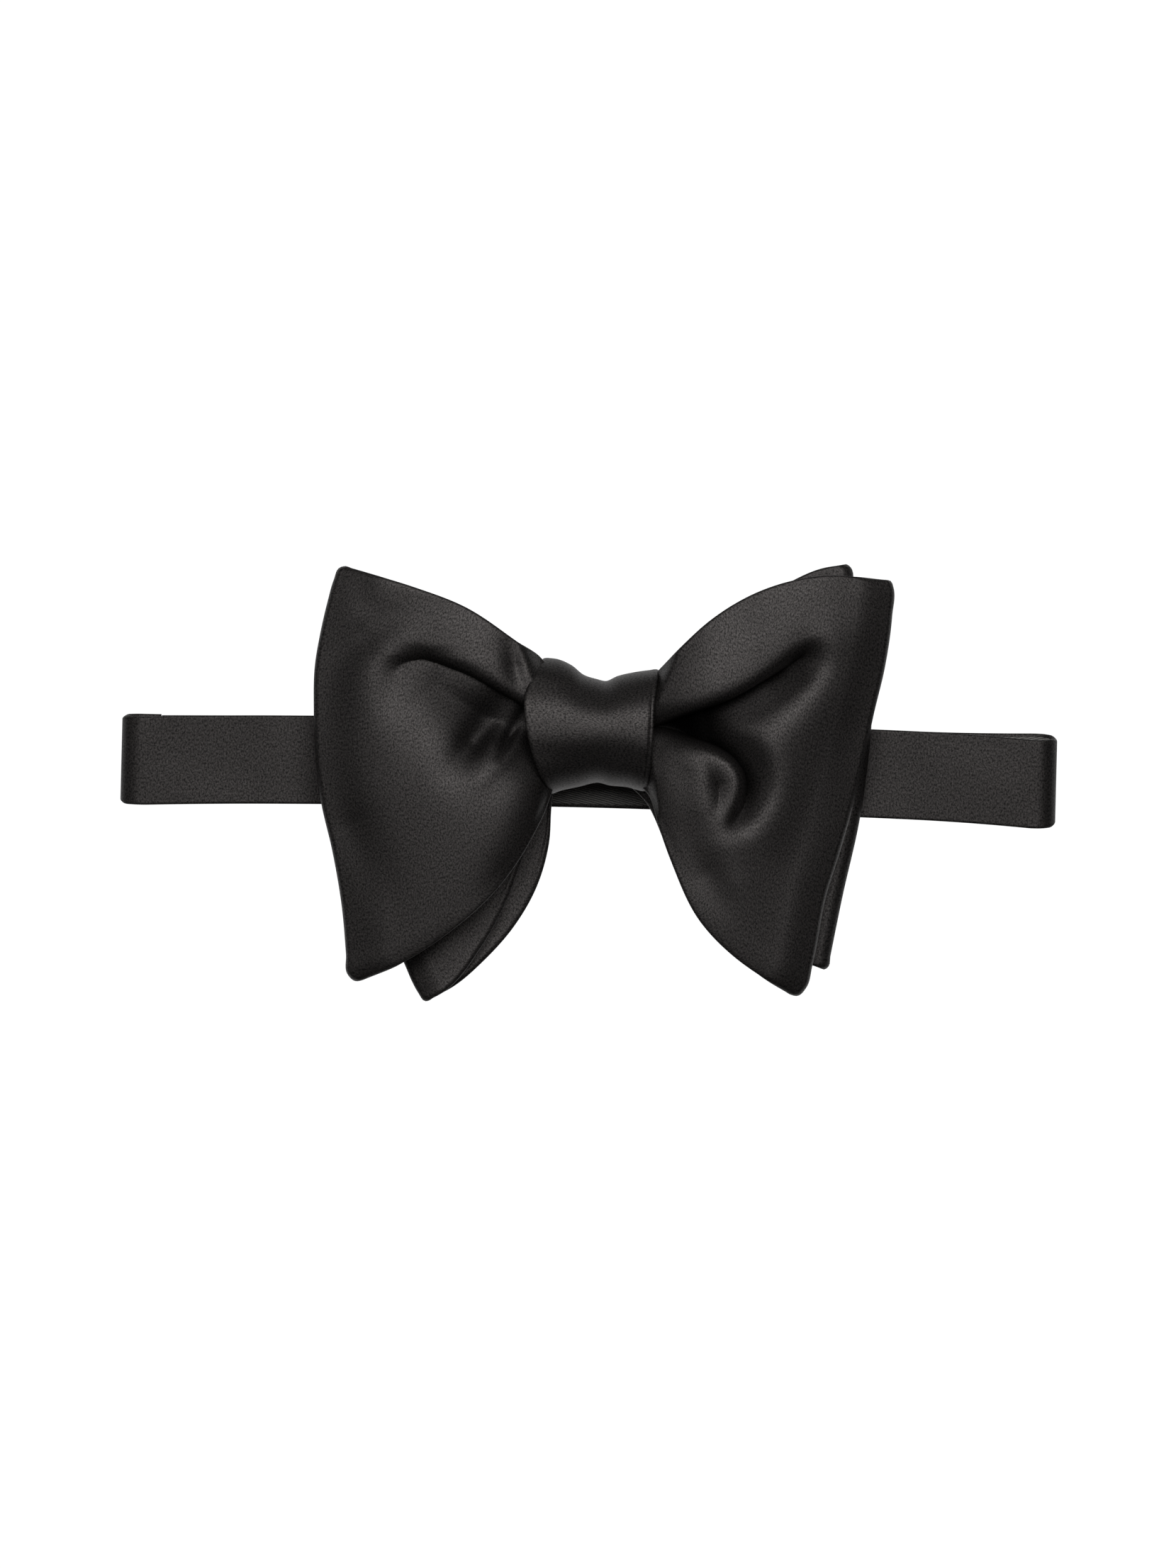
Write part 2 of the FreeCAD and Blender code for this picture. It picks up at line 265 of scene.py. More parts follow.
def bump(nodes, links, bsdf, height, strength, distance):
    n = node(nodes, "ShaderNodeBump", Strength=strength, Distance=distance)
    links.new(height, n.inputs["Height"])
    links.new(n.outputs[0], bsdf.inputs["Normal"])


def satin(name, shine, rough):
    """Black satin: fine grain, slubs and float threads, with painted shade darkening its colour and gloss in
    a deep fold.
    """
    m, nodes, links, bsdf = material(name)
    uv = node(nodes, "ShaderNodeUVMap", uv_map="UVMap")
    grain = node(nodes, "ShaderNodeTexNoise", Scale=2700.0, Detail=2.0, Roughness=0.7)
    stretch = node(nodes, "ShaderNodeMapping")
    stretch.inputs["Scale"].default_value = (1.0, 0.7, 1.0)
    links.new(uv.outputs[0], stretch.inputs[0])
    links.new(stretch.outputs[0], grain.inputs["Vector"])
    slub = node(nodes, "ShaderNodeTexNoise", Scale=110.0, Detail=4.0)
    links.new(uv.outputs[0], slub.inputs["Vector"])
    colour = ramp(nodes, (0.004, 0.004, 0.004), (0.013, 0.0115, 0.0110), 0.36, 0.64)
    links.new(grain.outputs["Fac"], colour.inputs[0])

    # painted shade: the fold depth stored on the mesh fades the colour and the gloss towards black in a deep
    # fold
    painted_fold_shade = node(nodes, "ShaderNodeAttribute", attribute_name="painted_fold_shade")
    painted_shade_factor = map_range(nodes, (1.5, 7.0), (1.0, 0.01), interpolation_type="SMOOTHSTEP")
    links.new(painted_fold_shade.outputs["Fac"], painted_shade_factor.inputs["Value"])
    painted_fold_shading = node(nodes, "ShaderNodeVectorMath", operation="SCALE")
    links.new(colour.outputs[0], painted_fold_shading.inputs[0])
    links.new(painted_shade_factor.outputs[0], painted_fold_shading.inputs["Scale"])
    links.new(painted_fold_shading.outputs[0], bsdf.inputs["Base Color"])

    glint = map_range(nodes, (0.34, 0.66), (shine * 0.3, shine * 1.7))
    links.new(grain.outputs["Fac"], glint.inputs["Value"])
    # the grain's gloss, darkened by the same painted shade
    gloss = node(nodes, "ShaderNodeMath", operation="MULTIPLY")
    links.new(glint.outputs[0], gloss.inputs[0])
    links.new(painted_shade_factor.outputs[0], gloss.inputs[1])
    links.new(gloss.outputs[0], bsdf.inputs["Specular IOR Level"])
    rough_map = map_range(nodes, (0.0, 1.0), (rough - 0.06, rough + 0.08))
    links.new(slub.outputs["Fac"], rough_map.inputs["Value"])
    links.new(rough_map.outputs[0], bsdf.inputs["Roughness"])

    floats = node(nodes, "ShaderNodeTexWave", Scale=900.0, Distortion=3.0, Detail=1.0, bands_direction="X")
    links.new(uv.outputs[0], floats.inputs["Vector"])
    mix = node(nodes, "ShaderNodeMath", operation="MULTIPLY_ADD")
    mix.inputs[1].default_value = 0.2
    links.new(floats.outputs["Fac"], mix.inputs[0])
    links.new(grain.outputs["Fac"], mix.inputs[2])
    bump(nodes, links, bsdf, mix.outputs[0], 0.30, 0.00008)
    bsdf.inputs["Specular Tint"].default_value = (1.0, 0.935, 0.915, 1)
    return m


def twill(name):
    """Grey-black lining with slanting ribs."""
    m, nodes, links, bsdf = material(name)
    uv = node(nodes, "ShaderNodeUVMap", uv_map="UVMap")
    turn = node(nodes, "ShaderNodeMapping")
    turn.inputs["Rotation"].default_value = (0, 0, math.radians(-76))
    links.new(uv.outputs[0], turn.inputs[0])
    rib = node(nodes, "ShaderNodeTexWave", Scale=640.0, Distortion=0.6, Detail=1.0)
    rib.inputs["Detail Scale"].default_value = 3.0
    links.new(turn.outputs[0], rib.inputs["Vector"])
    fuzz = node(nodes, "ShaderNodeTexNoise", Scale=4000.0, Detail=1.0)
    links.new(uv.outputs[0], fuzz.inputs["Vector"])
    mix = node(nodes, "ShaderNodeMath", operation="MULTIPLY_ADD")
    mix.inputs[1].default_value = 0.4
    links.new(fuzz.outputs["Fac"], mix.inputs[0])
    links.new(rib.outputs["Fac"], mix.inputs[2])
    colour = ramp(nodes, (0.03, 0.03, 0.03), (0.20, 0.19, 0.18), 0.25, 1.1)
    links.new(mix.outputs[0], colour.inputs[0])
    links.new(colour.outputs[0], bsdf.inputs["Base Color"])
    bump(nodes, links, bsdf, mix.outputs[0], 0.8, 0.0001)
    bsdf.inputs["Roughness"].default_value = 0.52
    bsdf.inputs["Sheen Weight"].default_value = 0.15
    return m


def thread(name):
    """Dull black sewing thread."""
    m, nodes, links, bsdf = material(name)
    where = node(nodes, "ShaderNodeTexCoord")
    ply = node(nodes, "ShaderNodeTexNoise", Scale=5200.0, Detail=1.0)
    links.new(where.outputs["Object"], ply.inputs["Vector"])
    colour = ramp(nodes, (0.008, 0.008, 0.008), (0.045, 0.043, 0.041), 0.3, 0.75)
    links.new(ply.outputs["Fac"], colour.inputs[0])
    links.new(colour.outputs[0], bsdf.inputs["Base Color"])
    bump(nodes, links, bsdf, ply.outputs["Fac"], 0.7, 0.0001)
    bsdf.inputs["Roughness"].default_value = 0.6
    return m


def lacquer(name):
    """Black lacquered metal with a little wear."""
    m, nodes, links, bsdf = material(name)
    where = node(nodes, "ShaderNodeTexCoord")
    peel = node(nodes, "ShaderNodeTexNoise", Scale=900.0, Detail=2.0)
    wear = node(nodes, "ShaderNodeTexNoise", Scale=260.0, Detail=5.0, Roughness=0.7)
    links.new(where.outputs["Object"], peel.inputs["Vector"])
    links.new(where.outputs["Object"], wear.inputs["Vector"])
    colour = ramp(nodes, (0.010, 0.010, 0.011), (0.10, 0.095, 0.09), 0.60, 0.80)
    links.new(wear.outputs["Fac"], colour.inputs[0])
    links.new(colour.outputs[0], bsdf.inputs["Base Color"])
    rough_map = map_range(nodes, (0.0, 1.0), (0.18, 0.42))
    links.new(peel.outputs["Fac"], rough_map.inputs["Value"])
    links.new(rough_map.outputs[0], bsdf.inputs["Roughness"])
    bump(nodes, links, bsdf, peel.outputs["Fac"], 0.15, 0.0002)
    bsdf.inputs["Metallic"].default_value = 0.75
    return m


SATIN = satin("black_satin", 0.52, 0.50)
BAND_SATIN = satin("band_satin", 0.44, 0.54)
TWILL = twill("twill_lining")
THREAD = thread("black_thread")
LACQUER = lacquer("clip_lacquer")
TAPE = twill("black_tape")


# ---- wings -------------------------------------------------------------------

FRONT_Y, BACK_Y = -13.0, -6.4


def wing(name, bottom, top, inner, outer, y_mid, puff, folds, gap, roll, count,
         back_bottom=None, lip=0.0, tucks=(), painted_fold_shading=(1.0, 9.0)):
    """One loop of the bow: front leaf, rounded fold at its outer end, back leaf, in one closed sheet.

    Both leaves stand gap from y_mid, and puff is how far the front leaf crowns beyond that. roll is the
    length in which it falls away to the fold, and lip the height of its turned seams. The last argument is
    how fast the painted shade of a fold darkens with its depth, and the most that it can.
    """
    round_end, back_bow, back_rows = 0.8, 0.8, 60
    knot_grip, knot_width, knot_corner = 0.88, 0.12, 0.13
    u = 1 - (1 - np.linspace(0, 1, count)) ** 1.5
    v = edge_rows(count, 60.0)
    flat = patch(bottom, top, inner, outer, u, v)
    x, z = flat[..., 0], flat[..., 1]
    uu, vv = u[:, None], v[None, :]
    to_edge = np.abs(2 * vv - 1)

    open_edge = 1 - to_edge**2.6
    crown = (0.74 + 0.26 * open_edge) * (0.22 + 0.78 * np.sin(np.pi * np.clip(uu, 0, 1) ** 0.9))
    rise = gap + puff * crown
    level = rise.copy()
    for shape in folds:
        fold(rise, x, z, *shape)
    # painted shade: the deeper the folds sink the front leaf below its crown, the darker it is painted, up
    # to a cap
    painted_fold_shade = painted_fold_shading[1] * np.tanh(painted_fold_shading[0] * np.clip(level - rise, 0, None) / painted_fold_shading[1])
    x, z = x.copy(), z.copy()
    for path, reach, ends in tucks:
        tuck(x, z, path, reach, ends)
    rise = 0.5 + 0.5 * np.logaddexp(0, (rise - 0.5) / 0.5)

    start = np.clip((uu - knot_corner * to_edge**2) / knot_width, 0, 1)
    start = start * start * (3 - 2 * start)
    least = knot_grip - 0.80 * to_edge**1.4
    base = gap * 0.8 * (1 - 0.8 * to_edge**2 * (1 - start))
    rise = base + (rise - base) * (least + (1 - least) * start)

    step = np.linalg.norm(np.diff(flat, axis=0), axis=2)
    left = np.concatenate([np.cumsum(step[::-1], axis=0)[::-1], np.zeros((1, len(v)))])
    slope = 0.42 + 0.58 * np.sin(np.pi / 2 * np.clip(left / roll, 0, 1))
    rise = rise * slope * np.sqrt(1 - (1 - np.clip(left / round_end, 0, 1)) ** 2)
    front = np.stack([x, y_mid - rise, z], 2)

    ub = 1 - np.linspace(0, 1, back_rows)[1:] ** 1.7
    rear = patch(back_bottom or bottom, top, inner, outer, ub, v)
    step = np.linalg.norm(np.diff(np.concatenate([flat[-1:], rear]), axis=0), axis=2)
    left = np.cumsum(step, axis=0)
    by = y_mid + gap * np.sqrt(1 - (1 - np.clip(left / (1.5 * gap), 0, 1)) ** 2)
    by = by + back_bow * np.sin(np.pi * ub)[:, None]
    back = np.stack([rear[..., 0], by, rear[..., 1]], 2)
    # the back leaf gets no painted shade
    shade = np.concatenate([painted_fold_shade, np.zeros(back.shape[:2])])
    return cloth(name, np.concatenate([front, back]), SATIN, half=0.5, rim=0.7, swell=lip, shade=shade)


LEFT_CREASE = [(-12, 1.8), (-15.1, 3.6), (-19.7, 6.2), (-30.4, 11.9), (-38.5, 14.8)]
RIGHT_CREASE = [(12, -0.2), (15.0, 0.5), (24.2, 3.3), (34.2, 7.6), (41.3, 12.4), (47.4, 18.0)]
RIGHT_LOBE = [(14, 0.3), (19, -0.2), (23.7, -0.8), (29.4, -2.7), (33.4, -5.4), (35.5, -8.5), (36.0, -12.1),
              (34.9, -16.2)]

# Each fold: path, rise (a valley below 0), width left and right of the path, strength along it, profile.
LEFT_FOLDS = [
    # deep crease from the knot, which curls down at its far end
    (LEFT_CREASE + [(-43.0, 13.4), (-44.6, 9.5)],
     -4.2, 7.0, 1.1, ((0, 0.9), (0.1, 1), (0.6, 0.9), (0.8, 0.6), (1, 0.1)), 1.25),
    # broad hollow below the crease
    ([(-12, -1.0), (-20, 0.5), (-28, 4.0), (-36, 8.5)],
     -3.8, 10.0, 3.6, ((0, 1), (0.5, 0.9), (1, 0.3)), 1.8),
    # rounded ridge round the end of the crease
    ([(-40, 22), (-48.0, 16.5), (-50.0, 8.0), (-47.5, -3.0)],
     1.0, 4.8, 4.8, ((0, 0.2), (0.3, 1), (1, 0.2))),
    # dip inside the upper outer edge
    ([(-37, 26.5), (-47.0, 21.5), (-56.5, 13.5), (-58.5, 1.0), (-56.0, -15)],
     -1.6, 5.0, 5.0, ((0, 0.1), (0.3, 1), (0.7, 0.6), (1, 0))),
    # dimple at the upper corner
    ([(-51.8, 30.0), (-51.2, 27.5)],
     -0.4, 3.4, 3.4),
    # longer pleat below the knot
    ([(-21.5, 3.5), (-23.6, 0.0), (-26.8, -4.6), (-31.0, -11.0)],
     -1.9, 3.2, 3.6, ((0, 0.5), (0.5, 1), (1, 0))),
    # short pleat beside the knot
    ([(-14.5, 3.0), (-16.2, 0.9), (-18.2, -2.6), (-20.6, -8.0)],
     -1.5, 1.3, 1.6, ((0, 0.3), (0.5, 1), (1, 0))),
    # ridge between the knot and the pleats
    ([(-14.5, -1.0), (-17.0, -3.6), (-21.0, -8.4), (-27, -15)],
     0.8, 2.4, 2.4, ((0, 0.8), (0.5, 0.9), (1, 0))),
    # ridge between the two pleats
    ([(-18.4, 1.2), (-21.3, -3.6), (-25.5, -9.5)],
     0.6, 2.2, 2.2, ((0, 0.3), (0.5, 1), (1, 0))),
    # pleat above the crease, into the knot
    ([(-18.2, 18.5), (-17.0, 12.3), (-15.2, 6.6)],
     -1.1, 2.0, 2.4, ((0, 0.4), (0.4, 1), (1, 0.3))),
    # hollow inside the lower outer edge
    ([(-57, -8), (-53.5, -22), (-48.5, -33.4), (-44.5, -43.0)],
     -1.5, 5.0, 5.0, ((0, 0.1), (0.4, 1), (1, 0))),
    # hollow along the lower inner edge
    ([(-5, -14), (-8.5, -24), (-13, -33), (-20, -42)],
     -3.2, 6.5, 6.5, ((0, 1), (0.7, 0.8), (1, 0))),
]

RIGHT_FOLDS = [
    # deep crease from the knot
    (RIGHT_CREASE[:-1] + [(46.6, 17.0), (48.8, 18.8)],
     -7.6, 1.0, 4.4, ((0, 0.4), (0.15, 0.8), (0.35, 1), (0.75, 0.85), (0.93, 0.5), (1, 0.15)), 1.3),
    # hollow that curls down round the lobe
    (RIGHT_LOBE + [(32.5, -20.5)],
     -6.5, 3.6, 1.3, ((0, 0.4), (0.2, 0.8), (0.4, 1), (0.75, 1), (0.9, 0.6), (1, 0.1)), 1.6),
    # rounded ridge round both of them
    ([(47, 25.0), (53.0, 22.5), (51.5, 16.3), (47.5, 6.6), (43.7, 0.9), (41.4, -4.8), (40.7, -9.6),
      (39.3, -14.4), (36.5, -19.6), (31.5, -24)],
     1.0, 6.6, 6.2, ((0, 0.1), (0.15, 0.9), (0.85, 1), (1, 0.3))),
    # pocket at the far end of the crease
    ([(43.5, 12.0), (46.5, 14.5), (48.0, 16.5)],
     -1.6, 3.0, 3.6, ((0, 0.4), (0.6, 1), (1, 0.6))),
    # dimple inside the lobe
    ([(26.6, -6.5), (28.4, -10.0), (29.3, -13.4), (28.9, -18.0)],
     -1.5, 1.8, 1.8, ((0, 0.1), (0.5, 1), (1, 0.2)), 1.25),
    # rise of the lobe itself
    ([(15, -2.0), (21.5, -4.4), (25.2, -8.2), (26.1, -15.6), (28.0, -21.5)],
     0.6, 3.2, 3.4, ((0, 0.5), (0.4, 1), (0.8, 0.8), (1, 0))),
    # soft ridge above the crease
    ([(15, 4.0), (25, 9.0), (35, 14), (45, 24)],
     0.6, 7.0, 4.0, ((0, 0.4), (0.4, 1), (1, 0.3))),
    # hollow inside the outer edge
    ([(57, 33), (61, 20), (59.5, 4), (53.0, -14), (48, -28), (46, -44)],
     -1.0, 6.5, 6.5, ((0, 0), (0.15, 0.2), (0.4, 1), (0.8, 0.8), (1, 0.2))),
    # shallow hollow below the lobe
    ([(22.0, -22), (26, -31), (32, -41)],
     -0.7, 3.8, 3.8, ((0, 0.3), (0.5, 1), (1, 0))),
    # soft ridge beside it
    ([(31.5, -26), (34.5, -34), (39, -45)],
     0.5, 4.0, 4.0, ((0, 0.8), (0.4, 1), (1, 0))),
]


def back_folds(side):
    return [([(side * 12, -4), (side * 30, -30), (side * 40, -55)], -0.8, 4.0, 4.0, ((0, 1), (1, 0.6)))]


front_left = wing(
    "front_left_loop",
    bottom=[(-7.0, -9.0), (-8.4, -15.0), (-11.6, -23.0), (-15.5, -30.2), (-20.2, -36.7), (-29.6, -45.7),
            (-40.6, -53.2), (-49.0, -56.9)],
    top=[(-7.5, 10.0), (-10.8, 15.2), (-16.8, 19.3), (-28.5, 26.7), (-40.1, 30.9), (-51.0, 33.9),
         (-55.2, 35.0)],
    inner=[(-7.0, -9.0), (-7.0, 0.0), (-7.5, 10.0)],
    outer=[(-49.0, -56.9), (-51.4, -57.4), (-52.7, -56.2), (-53.1, -52.0), (-54.2, -42.0), (-56.8, -28.5),
           (-59.5, -18.0), (-60.9, -9.0), (-61.7, 3.1), (-61.7, 12.7), (-60.6, 20.4), (-59.2, 27.2),
           (-57.9, 32.2), (-56.9, 34.6), (-55.2, 35.0)],
    y_mid=FRONT_Y, puff=6.2, folds=LEFT_FOLDS, gap=1.9, roll=10.0, count=220,
    # the left loop's painted fold shade darkens sooner but stops at a lighter shade
    tucks=[(LEFT_CREASE, -2.4, ((0, 0.3), (0.2, 1), (0.6, 0.8), (1, 0)))], painted_fold_shading=(2.0, 4.2))

front_right = wing(
    "front_right_loop",
    bottom=[(7.5, -9.0), (14.2, -15.2), (16.2, -21.9), (19.1, -29.5), (25.9, -42.7), (33.9, -50.5),
            (39.7, -54.4), (46.0, -57.9)],
    top=[(8.0, 8.0), (14.8, 13.2), (20.6, 19.6), (26.3, 25.0), (37.6, 32.0), (50.0, 35.5), (65.6, 34.8)],
    inner=[(7.5, -9.0), (7.5, 0.0), (8.0, 8.0)],
    outer=[(46.0, -57.9), (48.2, -58.3), (49.6, -56.8), (50.9, -51.7), (53.7, -35.7), (56.2, -27.0),
           (59.0, -16.3),
           (61.6, -4.0), (63.3, 5.0), (65.6, 15.9), (66.9, 27.1), (67.0, 33.6), (66.6, 34.6), (65.6, 34.8)],
    y_mid=FRONT_Y, puff=6.2, folds=RIGHT_FOLDS, gap=1.9, roll=8.0, count=220,
    tucks=[(RIGHT_CREASE, 2.8, ((0, 0.3), (0.2, 1), (0.7, 0.9), (1, 0))),
           (RIGHT_LOBE, -1.6, ((0, 0.2), (0.35, 0.8), (0.7, 1), (1, 0)))])

back_left = wing(
    "back_left_loop",
    bottom=[(-7.5, -11.0), (-8.9, -16.0), (-10.9, -19.5), (-14.8, -30.6), (-18.4, -40.5), (-23.1, -49.4),
            (-32.0, -60.3), (-34.4, -61.6)],
    back_bottom=[(-7.5, -11.0), (-8.2, -17.6), (-8.5, -25.5), (-11.1, -35.8), (-15.9, -44.7), (-22.6, -52.7),
                 (-29.3, -58.7), (-34.4, -61.6)],
    top=[(-7.5, 11.0), (-14.0, 15.5), (-30.0, 24.0), (-45.0, 26.6), (-57.6, 26.8)],
    inner=[(-7.5, -11.0), (-7.5, 0.0), (-7.5, 11.0)],
    outer=[(-34.4, -61.6), (-35.8, -61.4), (-36.7, -60.2), (-40.1, -53.5), (-46.5, -36.0), (-54.0, -14.0),
           (-59.5, 3.0), (-60.7, 15.0), (-59.6, 24.0), (-58.8, 26.2), (-57.6, 26.8)],
    y_mid=BACK_Y, puff=0.9, folds=back_folds(-1), gap=1.5, roll=5.0, count=120, lip=0.16)

back_right = wing(
    "back_right_loop",
    bottom=[(7.5, -11.0), (13.0, -16.0), (18.0, -26.0), (26.0, -37.5), (38.0, -47.5), (53.6, -52.6)],
    top=[(7.5, 11.0), (15.0, 13.0), (30.0, 26.0), (41.5, 32.8), (51.9, 37.7), (56.4, 38.5)],
    inner=[(7.5, -11.0), (7.5, 0.0), (7.5, 11.0)],
    outer=[(53.6, -52.6), (54.6, -52.0), (55.0, -49.7), (57.4, -36.2), (60.8, -19.0), (62.6, -3.4),
           (63.0, 4.6), (60.8, 22.0), (58.2, 34.4), (57.6, 37.6), (56.4, 38.5)],
    y_mid=BACK_Y, puff=0.7, folds=back_folds(1), gap=1.5, roll=2.2, count=120)

for ob, name in ((front_left, "front_left"), (front_right, "front_right"),
                 (back_left, "back_left"), (back_right, "back_right")):
    finish_piece(ob, "bow", [name + "_loop_" + p for p in ("face", "interlining", "lining")])


# ---- knot --------------------------------------------------------------------

def knot_grid():
    """The wrap round the knot: x and z follow its four edges, y a deep front and a flat back."""
    rows, steps = 96, 220
    centre_y, front_depth, back_depth, half_width, half_height = -8.6, 12.6, 8.2, 15, 13.3
    top = smooth([(-15.5, 14.6), (-10.8, 15.4), (-7.9, 15.3), (-4.8, 14.1), (-1.8, 11.9), (1.2, 11.0),
                  (3.4, 10.6), (6.1, 11.8), (9.6, 12.7), (15.4, 13.6)], 200)
    low = smooth([(-15.5, -13.0), (-8.9, -14.4), (-6.1, -13.5), (-2.4, -12.6), (2.8, -11.6), (4.3, -12.0),
                  (8.8, -12.4), (12.6, -13.2), (15.4, -12.8)], 200)
    left = smooth([(-14.6, -8.7), (-10.5, -11.0), (-4.6, -13.2), (3.3, -14.8), (6.4, -14.9), (13.1, -12.4),
                   (15.6, -10.9)], 200)
    right = smooth([(-13.0, 13.5), (-0.9, 14.3), (5.3, 14.4), (13.5, 15.2)], 200)
    s = edge_rows(rows, 29.0, 1.0)
    a = math.pi + np.linspace(0, 2 * math.pi, steps, endpoint=False)
    ca, sa = np.cos(a), np.sin(a)
    z = np.repeat((half_height * sa)[:, None], len(s), 1)
    for _ in range(3):
        xl = np.interp(z, left[:, 0], left[:, 1])
        xr = np.interp(z, right[:, 0], right[:, 1])
        x = xl + (xr - xl) * s[None, :]
        zt = np.interp(x, top[:, 0], top[:, 1])
        zb = np.interp(x, low[:, 0], low[:, 1])
        side = (np.abs(x) / half_width) ** 3
        power = np.where(ca[:, None] > 0, 0.97 - 0.15 * side, 0.55)
        shape = np.sign(sa)[:, None] * np.abs(sa)[:, None] ** power
        z = np.where(sa[:, None] > 0, zt * shape, -zb * shape)
    front = centre_y - front_depth * np.abs(ca)[:, None] ** (0.93 - 0.25 * side)
    y = np.where(ca[:, None] > 0, front, centre_y + back_depth * np.abs(ca)[:, None] ** 0.5)
    rise = np.zeros_like(x)
    fold(rise, x, z, [(-14, 9.6), (-5, 9.0), (1, 7.2), (8, 8.8), (15, 9.4)], -0.35, 2.6, 3.0)
    fold(rise, x, z, [(-14, -5.6), (-2, -6.4), (5, -5.6), (14, -7.4)], -0.30, 2.6, 2.6)
    fold(rise, x, z, [(-8, 13.5), (-2, 8.2), (4, 6.4)], -0.25, 1.6, 2.0, ((0, 1), (1, 0)))
    fold(rise, x, z, [(13.3, 13.5), (13.4, 4.0), (13.3, -1), (12.6, -12.5)], -0.30, 0.22, 0.22)
    facing = np.clip(ca, 0, 1)[:, None] ** 0.5
    y = y - rise * facing
    grid = np.stack([x, y, z], 2)
    return np.concatenate([grid, grid[:1]])[::-1]


knot = cloth("knot_wrap", knot_grid(), SATIN, half=0.42, rim=0.6, swell=0.06)
finish_piece(knot, "bow", ["knot_satin", "knot_interlining"])


# ---- gathered middles and binding threads ------------------------------------

def boxy(c):
    """Draws the cosine or sine of a circle out to that of a box with round corners."""
    return np.sign(c) * np.abs(c) ** 0.6


def waist(name, y0, y1, half_z):
    """Pleated middle of a bow: folds that run across it and close up at the thread."""
    half_x, stations, steps, pleats, thread_reach = 12.0, 60, 120, 9, 3.0
    a = np.linspace(0, 2 * math.pi, steps, endpoint=False)
    rows = []
    for x in np.linspace(-half_x, half_x, stations):
        near = math.exp(-((x / thread_reach) ** 2))
        pinch = 1 - 0.16 * near
        pleat = 1 + 0.05 * np.cos(pleats * a) * (1 - 0.5 * near)
        ys = (y0 + y1) / 2 + (y1 - y0) / 2 * 0.94 * pinch * pleat * boxy(np.cos(a))
        zs = half_z * 0.96 * pinch * pleat * boxy(np.sin(a))
        rows.append(np.stack([np.full(steps, x), ys, zs], 1))
    verts = np.concatenate(rows)
    index = np.arange(stations * steps).reshape(stations, steps)
    ends = [index[0].tolist(), index[-1][::-1].tolist()]
    index = np.concatenate([index, index[:, :1]], 1)
    return add_mesh(name, verts, quads(index, True).tolist() + ends, verts[:, (0, 2)], SATIN)


def winding(name, y0, y1, half_z):
    """Three turns of binding thread as one coil round the gathered middle."""
    turns, half_x, tight = 3, 1.0, 0.84
    line = []
    for t in np.linspace(0, 1, 180):
        a = t * turns * 2 * math.pi
        line.append((half_x * (2 * t - 1), (y0 + y1) / 2 + (y1 - y0) / 2 * tight * boxy(math.cos(a)),
                     half_z * tight * boxy(math.sin(a))))
    return add_thread(name, [line], 0.32, 3)


for word, y0, y1, half_z in (("front", -16.8, -10.3, 9.0), ("back", -9.4, -3.0, 11.0)):
    mid = waist(word + "_waist_pleats", y0, y1, half_z)
    finish_piece(mid, "bow", [word + "_waist"])
    coil = winding(word + "_binding", y0, y1, half_z)
    finish_piece(coil, "bow", [word + "_binding_thread"])


# ---- neckband ----------------------------------------------------------------

BAND_Z = -8.9                # height of the band's middle line
HALF_H = 10.0                # half the height of the satin
LINING_HALF_H = 9.2          # half the height of the lining
BAND_ROWS = 24
FOLD_X, FOLD_Y = 101.15, 2.05    # centre of the left and right turn
SATIN_R, LINING_R = 4.01, 3.47   # the satin's and the lining's way round a turn
SEAM_X = -97.0               # seam of the band and the running strap
STRAP_X = 43.0               # end of the right strap, in the eye's tape
HOOK_X, HOOK_Y = 24.0, 7.7   # the hook's bar
SLIDE_X = -30.0              # the slide's bar


def arch(x):
    """The band lies a little higher in the middle than at its ends."""
    return 1.5 * (1 - np.clip(np.abs(x) / 100.0, 0, 1) ** 1.6) - 0.25


def ripple(s, v, seed):
    """Slight unevenness of a hand-finished band."""
    return 0.10 * np.sin(s * 0.11 + seed) * np.cos(v * 2.2) + 0.06 * np.sin(s * 0.31 + 2.1 * seed + v)


def across(half_h):
    """Places across a strap, from -1 at its lower edge to 1 at its upper edge."""
    return edge_rows(BAND_ROWS, 2 * half_h, 0.9) * 2 - 1


def band_grid(side, r, x_end, half_h):
    """One half of the band at radius r from the turn's centre: middle, turn, and back to x_end."""
    ax = side * FOLD_X
    pts = [(x, FOLD_Y - r) for x in np.linspace(0, ax, 120)]
    for a in np.linspace(0, math.pi, 26)[1:-1]:
        pts.append((ax + side * r * math.sin(a), FOLD_Y - r * math.cos(a)))
    steps = max(int(abs(x_end - ax) / 1.2), 4)
    pts += [(x, FOLD_Y + r) for x in np.linspace(ax, x_end, steps)]
    pts = np.array(pts)
    v = across(half_h)
    grid = np.zeros((len(pts), len(v), 3))
    run = np.concatenate([[0], np.cumsum(np.linalg.norm(np.diff(pts, axis=0), axis=1))])
    for i, (x, y) in enumerate(pts):
        grip = 0.0
        if y < FOLD_Y - r + 0.01:    # front strand: it narrows and rises into the knot
            t = np.clip((30 - abs(x)) / 14, 0, 1)
            grip = t * t * (3 - 2 * t)
        pinch = 1 - 0.48 * grip
        lift = 4.6 * grip
        step = (0.75 if side > 0 else 0.3) * np.clip((abs(x) - 70) / 30, 0, 1) ** 2 * (y - FOLD_Y) / r
        corner = 1 - 0.05 * np.clip((abs(x) - FOLD_X - 0.75 * r) / (0.25 * r), 0, 1) ** 2
        grid[i, :, 0] = x
        grid[i, :, 1] = y + ripple(run[i], v, side * 1.3)
        grid[i, :, 2] = BAND_Z + arch(x) + lift + step + v * half_h * pinch * corner
    return grid


